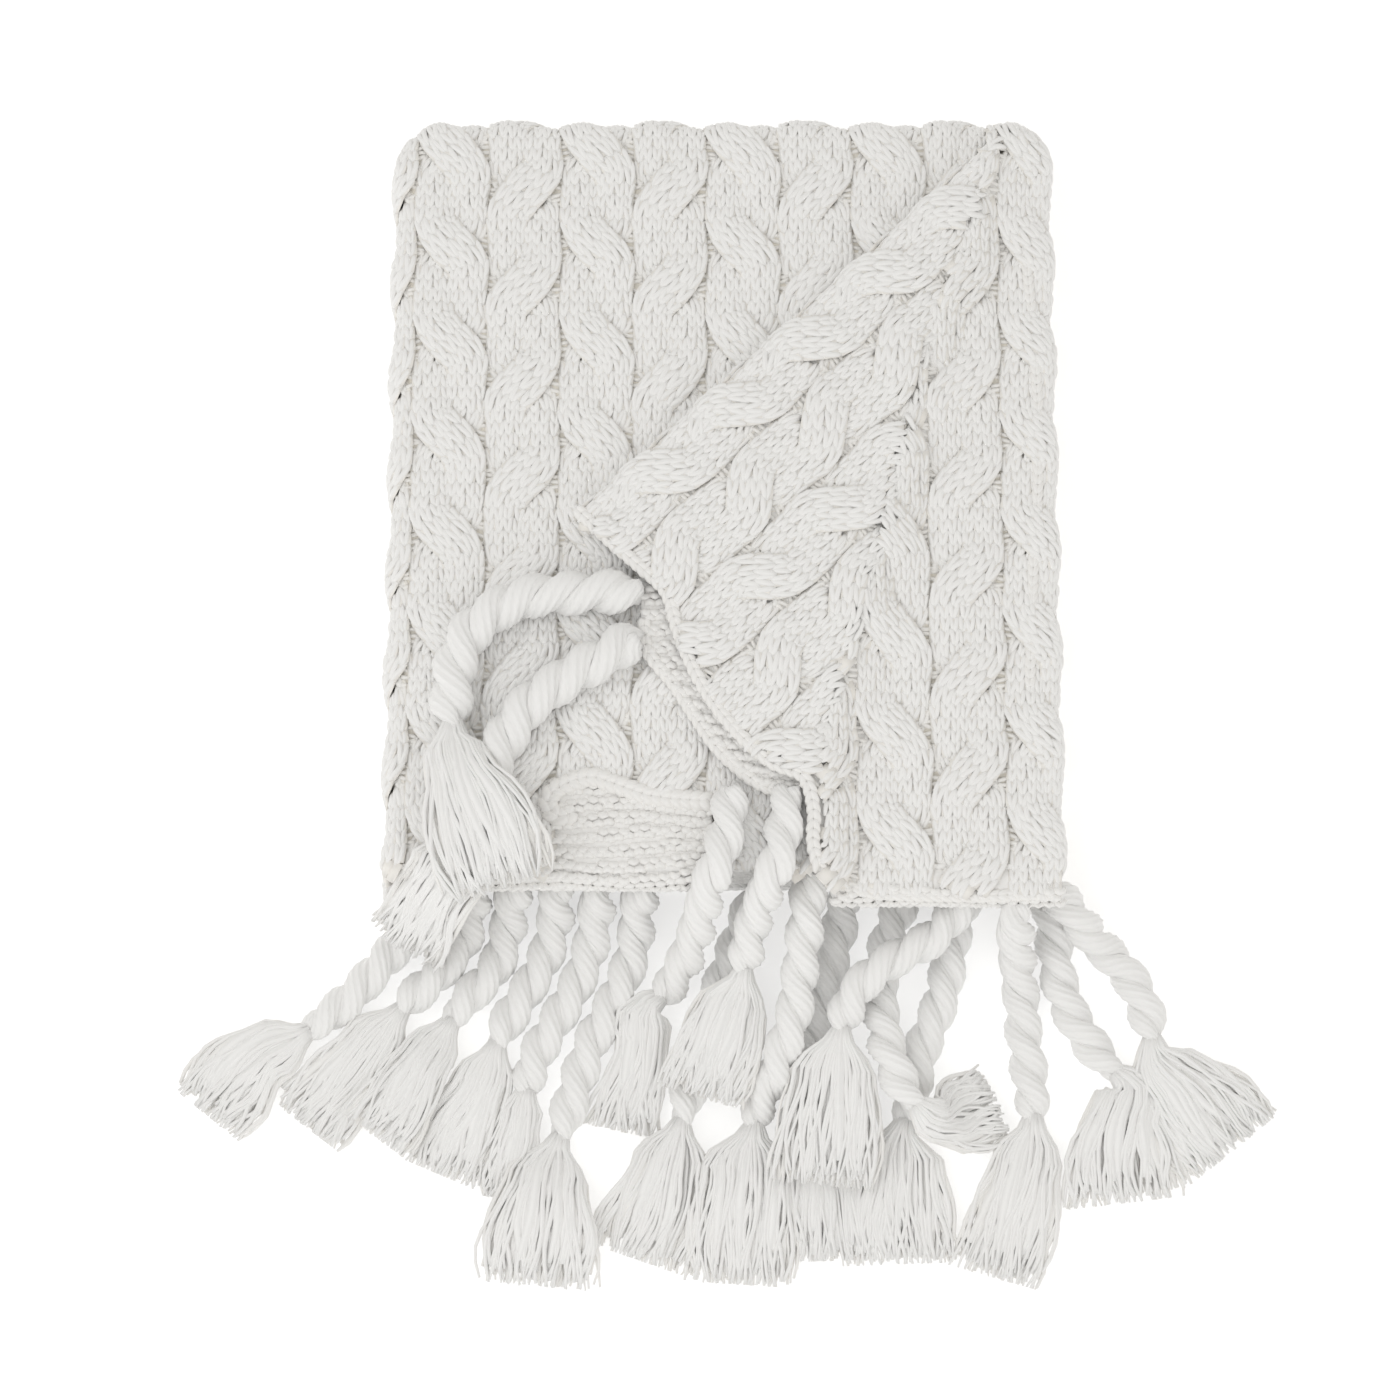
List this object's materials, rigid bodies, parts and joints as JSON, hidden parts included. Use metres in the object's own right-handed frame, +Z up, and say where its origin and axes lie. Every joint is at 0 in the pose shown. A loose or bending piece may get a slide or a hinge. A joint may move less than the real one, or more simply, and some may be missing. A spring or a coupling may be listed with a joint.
{
  "type": "folded throw blanket",
  "caption": "Folded cable-knit throw blanket with a turned-back corner and a fringe of thick twisted ropes that end in cut-yarn tassels.",
  "frame": {"origin": "centre of the footprint, on the surface that the folded throw lies on", "axes": "+X across the folded throw, +Y from the fringe to the far fold, +Z up through the layers"},
  "size_m": [0.7008, 0.7668, 0.1196],
  "materials": {
    "cable_knit": "matte ivory cable knit in soft thick yarn",
    "hem_knit": "matte ivory garter and chain edge",
    "fringe_rope": "matte ivory two-ply rope of parallel yarns with a faint sheen",
    "tassel_yarn": "loose cut ivory yarn"
  },
  "bodies": {
    "throw": {"bottom_third": "cable_knit", "middle_third": "cable_knit", "top_third": "cable_knit", "turned_corner_lower_layer": "cable_knit", "turned_corner_upper_layer": "cable_knit", "left_hem_band": "hem_knit", "right_hem_band": "hem_knit", "right_selvedge": "hem_knit", "fringe_rope_02": "fringe_rope", "fringe_tassel_02": "tassel_yarn", "fringe_rope_03": "fringe_rope", "fringe_tassel_03": "tassel_yarn", "fringe_rope_04": "fringe_rope", "fringe_tassel_04": "tassel_yarn", "fringe_rope_05": "fringe_rope", "fringe_tassel_05": "tassel_yarn", "fringe_rope_06": "fringe_rope", "fringe_tassel_06": "tassel_yarn", "fringe_rope_07": "fringe_rope", "fringe_tassel_07": "tassel_yarn", "fringe_rope_08": "fringe_rope", "fringe_tassel_08": "tassel_yarn", "fringe_rope_11": "fringe_rope", "fringe_tassel_11": "tassel_yarn", "fringe_rope_13": "fringe_rope", "fringe_tassel_13": "tassel_yarn", "fringe_rope_14": "fringe_rope", "fringe_tassel_14": "tassel_yarn", "fringe_rope_15": "fringe_rope", "fringe_tassel_15": "tassel_yarn", "fringe_rope_16": "fringe_rope", "fringe_tassel_16": "tassel_yarn", "fringe_rope_19": "fringe_rope", "fringe_tassel_19": "tassel_yarn"},
    "fringe_01": {"fringe_rope_01": "fringe_rope", "fringe_tassel_01": "tassel_yarn"},
    "fringe_09": {"fringe_rope_09": "fringe_rope", "fringe_tassel_09": "tassel_yarn"},
    "fringe_10": {"fringe_rope_10": "fringe_rope", "fringe_tassel_10": "tassel_yarn"},
    "fringe_12": {"fringe_rope_12": "fringe_rope", "fringe_tassel_12": "tassel_yarn"},
    "fringe_17": {"fringe_rope_17": "fringe_rope", "fringe_tassel_17": "tassel_yarn"},
    "fringe_18": {"fringe_rope_18": "fringe_rope", "fringe_tassel_18": "tassel_yarn"}
  },
  "joints": [
    {"name": "fringe_01_lift", "type": "hinge", "parent": "throw", "child": "fringe_01", "pos_m": [-0.05202, 0.05678, 0.0905], "axis": [0, 1, 0], "range_deg": [0, 60]},
    {"name": "fringe_09_lift", "type": "hinge", "parent": "throw", "child": "fringe_09", "pos_m": [0.00578, -0.07152, 0.0885], "axis": [-1, 0, 0], "range_deg": [0, 50]},
    {"name": "fringe_10_lift", "type": "hinge", "parent": "throw", "child": "fringe_10", "pos_m": [0.04178, -0.07152, 0.0885], "axis": [-1, 0, 0], "range_deg": [0, 50]},
    {"name": "fringe_12_lift", "type": "hinge", "parent": "throw", "child": "fringe_12", "pos_m": [0.05678, -0.12252, 0.07143], "axis": [-1, 0, 0], "range_deg": [0, 50]},
    {"name": "fringe_17_lift", "type": "hinge", "parent": "throw", "child": "fringe_17", "pos_m": [0.18811, -0.14282, 0.07755], "axis": [-1, 0, 0], "range_deg": [0, 50]},
    {"name": "fringe_18_swing", "type": "hinge", "parent": "throw", "child": "fringe_18", "pos_m": [0.21811, -0.12252, 0.04413], "axis": [0, 0, 1], "range_deg": [0, 20]}
  ]
}
